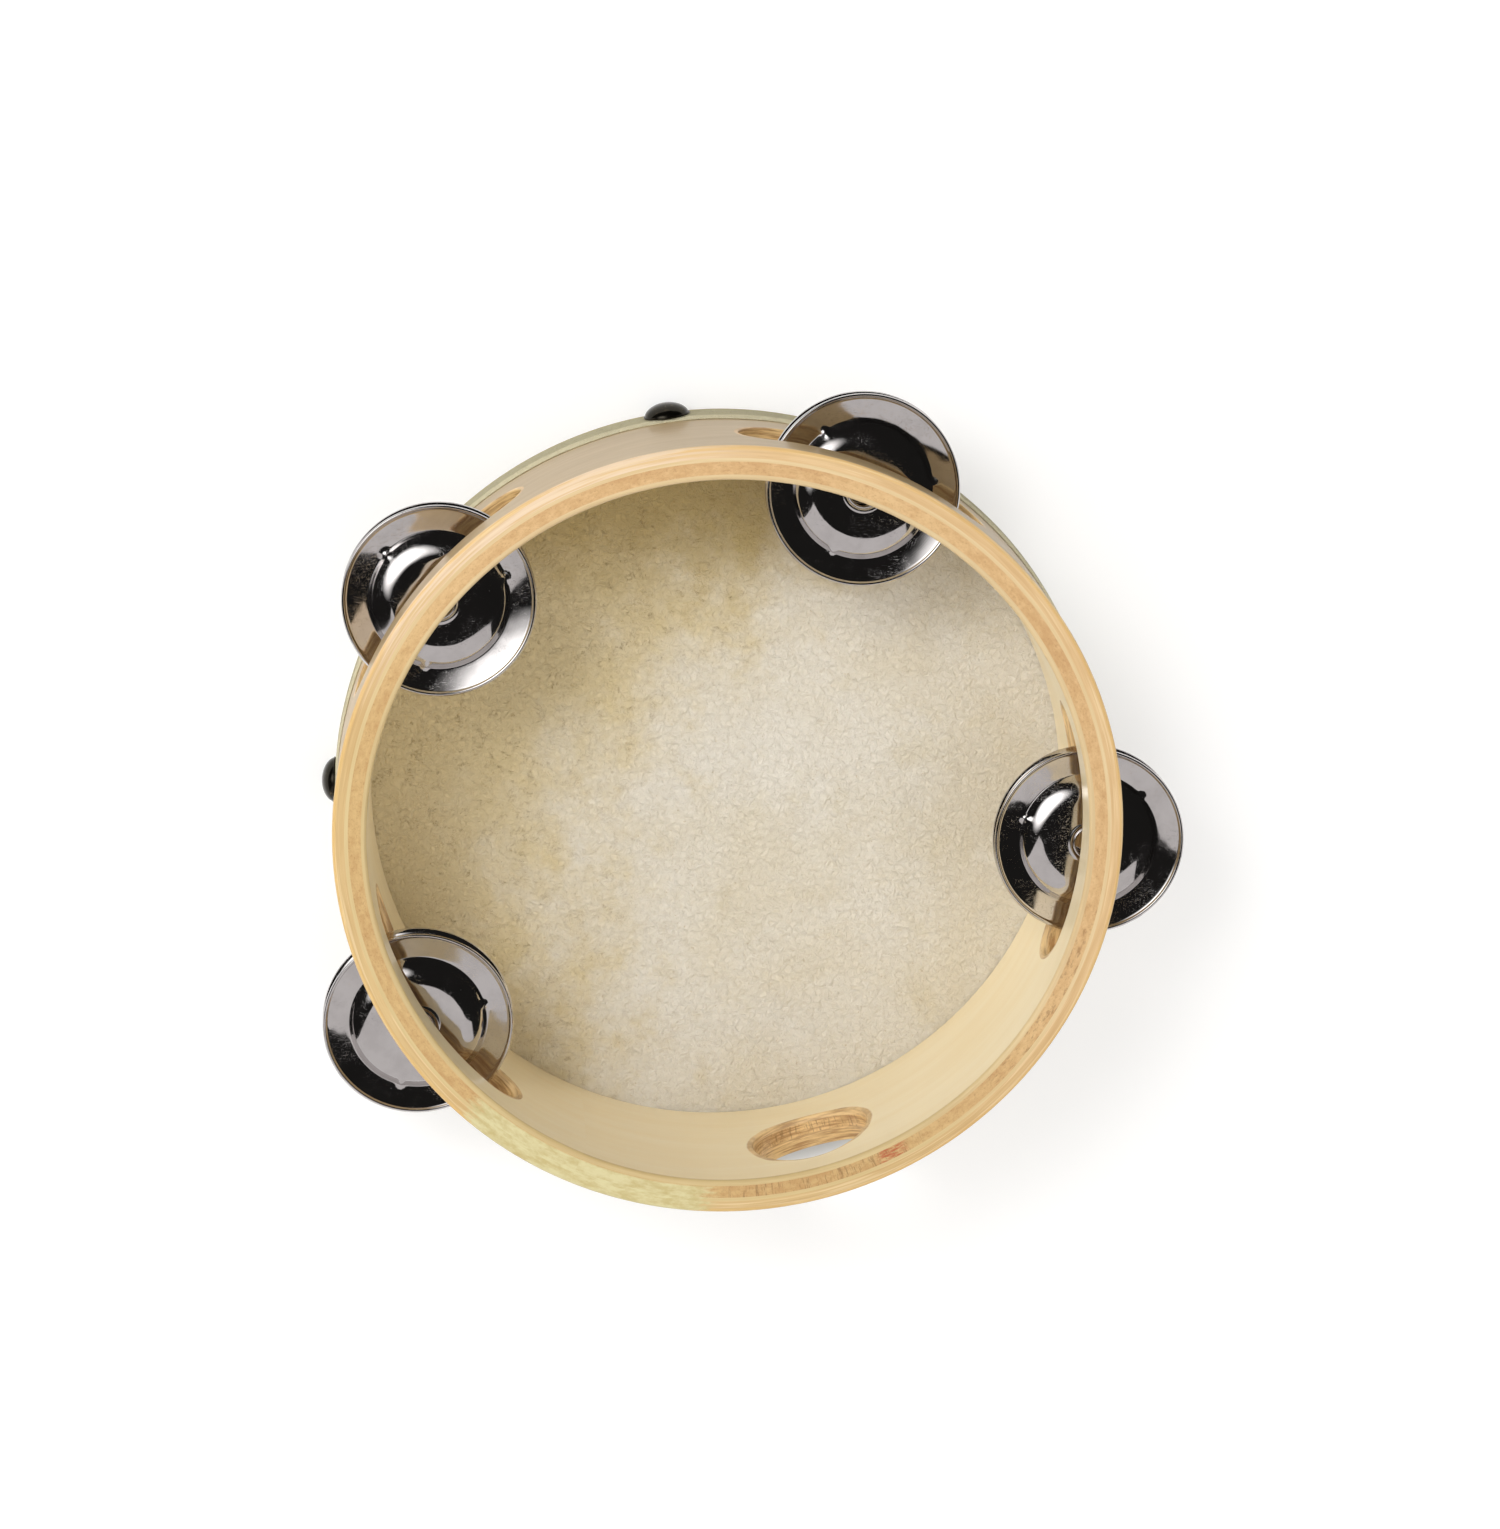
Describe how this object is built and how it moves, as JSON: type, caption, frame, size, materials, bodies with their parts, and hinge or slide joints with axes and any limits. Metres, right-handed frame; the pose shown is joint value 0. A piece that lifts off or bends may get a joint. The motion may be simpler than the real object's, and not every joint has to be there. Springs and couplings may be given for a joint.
{
  "type": "tambourine",
  "caption": "Small wooden tambourine: plywood hoop with a tacked skin head, pairs of loose metal jingles on pins in slots, and a finger hole.",
  "frame": {"origin": "centre of the skin head's outer face", "axes": "+Z along the hoop's axis, from the head to the open rim; +Y is up when the drum stands on its edge, as its jingles hang; +X completes the right-handed frame"},
  "size_m": [0.167, 0.1576, 0.042],
  "materials": {
    "skin": "matt translucent hide, mottled cream",
    "outer_ply": "clear satin varnish",
    "light_ply": "clear satin varnish",
    "core_ply": "clear satin varnish",
    "inner_veneer": "clear satin varnish",
    "tack_metal": "dark bronzed, glossy",
    "pin_steel": "drawn bright wire",
    "jingle_plate": "bright nickel plating, lightly scratched"
  },
  "bodies": {
    "hoop": {"skin_head": "skin", "hoop_outer_ply": "outer_ply", "hoop_light_ply": "light_ply", "hoop_core_ply": "core_ply", "hoop_inner_veneer": "inner_veneer", "tack_1": "tack_metal", "tack_2": "tack_metal", "tack_3": "tack_metal", "tack_4": "tack_metal"},
    "pin_1": {"pin_1": "pin_steel"},
    "jingle_1_upper": {"jingle_1_upper": "jingle_plate"},
    "jingle_1_lower": {"jingle_1_lower": "jingle_plate"},
    "pin_2": {"pin_2": "pin_steel"},
    "jingle_2_upper": {"jingle_2_upper": "jingle_plate"},
    "jingle_2_lower": {"jingle_2_lower": "jingle_plate"},
    "pin_3": {"pin_3": "pin_steel"},
    "jingle_3_upper": {"jingle_3_upper": "jingle_plate"},
    "jingle_3_lower": {"jingle_3_lower": "jingle_plate"},
    "pin_4": {"pin_4": "pin_steel"},
    "jingle_4_upper": {"jingle_4_upper": "jingle_plate"},
    "jingle_4_lower": {"jingle_4_lower": "jingle_plate"}
  },
  "joints": [
    {"name": "jingle_1_spin", "type": "hinge", "parent": "hoop", "child": "pin_1", "pos_m": [0.02606, 0.06583, 0.026], "axis": [0, 0, 1], "continuous": true},
    {"name": "jingle_1_upper_slide", "type": "slide", "parent": "pin_1", "child": "jingle_1_upper", "axis": [0, 0, 1], "range_m": [0, 0.0027]},
    {"name": "jingle_1_lower_slide", "type": "slide", "parent": "pin_1", "child": "jingle_1_lower", "axis": [0, 0, 1], "range_m": [-0.0027, 0]},
    {"name": "jingle_2_spin", "type": "hinge", "parent": "hoop", "child": "pin_2", "pos_m": [-0.05432, 0.04541, 0.026], "axis": [0, 0, 1], "continuous": true},
    {"name": "jingle_2_upper_slide", "type": "slide", "parent": "pin_2", "child": "jingle_2_upper", "axis": [0, 0, 1], "range_m": [0, 0.0027]},
    {"name": "jingle_2_lower_slide", "type": "slide", "parent": "pin_2", "child": "jingle_2_lower", "axis": [0, 0, 1], "range_m": [-0.0027, 0]},
    {"name": "jingle_3_spin", "type": "hinge", "parent": "hoop", "child": "pin_3", "pos_m": [-0.05971, -0.03804, 0.026], "axis": [0, 0, 1], "continuous": true},
    {"name": "jingle_3_upper_slide", "type": "slide", "parent": "pin_3", "child": "jingle_3_upper", "axis": [0, 0, 1], "range_m": [0, 0.0027]},
    {"name": "jingle_3_lower_slide", "type": "slide", "parent": "pin_3", "child": "jingle_3_lower", "axis": [0, 0, 1], "range_m": [-0.0027, 0]},
    {"name": "jingle_4_spin", "type": "hinge", "parent": "hoop", "child": "pin_4", "pos_m": [0.07071, -0.00358, 0.026], "axis": [0, 0, 1], "continuous": true},
    {"name": "jingle_4_upper_slide", "type": "slide", "parent": "pin_4", "child": "jingle_4_upper", "axis": [0, 0, 1], "range_m": [0, 0.0027]},
    {"name": "jingle_4_lower_slide", "type": "slide", "parent": "pin_4", "child": "jingle_4_lower", "axis": [0, 0, 1], "range_m": [-0.0027, 0]}
  ]
}
